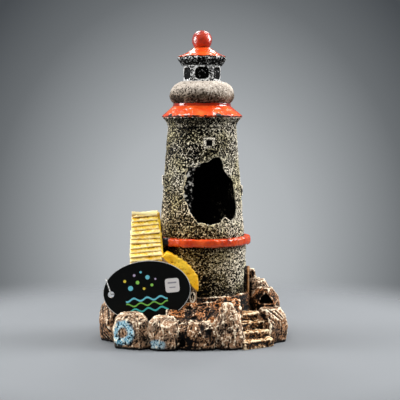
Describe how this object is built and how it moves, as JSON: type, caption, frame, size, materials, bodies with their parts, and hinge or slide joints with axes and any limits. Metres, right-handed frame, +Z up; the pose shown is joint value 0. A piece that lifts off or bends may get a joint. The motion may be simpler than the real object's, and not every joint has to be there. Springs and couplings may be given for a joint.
{
  "type": "lighthouse ornament",
  "caption": "Cast resin lighthouse ornament: a broken stone tower with a lantern on a rocky mound, a thatched cottage, steps, a hollow with a ragged mouth and a turning card tag.",
  "frame": {"origin": "middle of the mound's footprint, on the surface it stands on", "axes": "+Z up the tower, -Y towards the front with the broken opening and the steps, +X to the viewer's right"},
  "size_m": [0.1164, 0.0976, 0.1906],
  "materials": {
    "weathered_stone": "matte resin, dry-brushed pale over black",
    "dark_stone": "matte dark resin",
    "orange_enamel": "gloss orange enamel on resin",
    "brown_rock": "matte resin, brown wash with pale dry-brushed edges",
    "step_stone": "matte resin, ochre wash",
    "yellow_thatch": "satin yellow paint with a brown wash",
    "brown_wall": "matte dark brown resin",
    "black_card": "satin printed card",
    "grey_thread": "plain thread"
  },
  "bodies": {
    "ornament": {"tower_drum": "weathered_stone", "tower_shell": "weathered_stone", "gallery_corbel": "weathered_stone", "dome": "weathered_stone", "front_window": "weathered_stone", "left_window": "weathered_stone", "right_window": "weathered_stone", "door_frame": "weathered_stone", "lantern_room": "dark_stone", "lantern_eave": "dark_stone", "door_leaf": "dark_stone", "tower_belt": "orange_enamel", "gallery_roof": "orange_enamel", "lantern_roof": "orange_enamel", "finial_ball": "orange_enamel", "rock_mound": "brown_rock", "tower_plinth": "brown_rock", "front_path": "brown_rock", "left_boulder": "brown_rock", "ring_boulder": "brown_rock", "front_boulder": "brown_rock", "front_ledge": "brown_rock", "spur_rock": "brown_rock", "right_low_boulder": "brown_rock", "right_arch_rock": "brown_rock", "rear_right_boulder": "brown_rock", "stack_stone_low": "brown_rock", "stack_stone_high": "brown_rock", "rear_boulder": "brown_rock", "rear_left_boulder": "brown_rock", "step_bottom": "step_stone", "step_middle": "step_stone", "step_upper": "step_stone", "step_landing": "step_stone", "cottage_roof_front": "yellow_thatch", "cottage_roof_back": "yellow_thatch", "leanto_roof": "yellow_thatch", "cottage_walls": "brown_wall", "leanto_walls": "brown_wall", "leanto_window": "brown_wall", "tag_cord": "grey_thread"},
    "tag": {"tag_card": "black_card"}
  },
  "joints": [
    {"name": "tag_turn", "type": "hinge", "parent": "ornament", "child": "tag", "pos_m": [-0.04945, -0.02964, 0.03051], "axis": [0, -0.9984, 0.0558], "range_deg": [0, 90], "deforming": ["tag_cord"]}
  ]
}
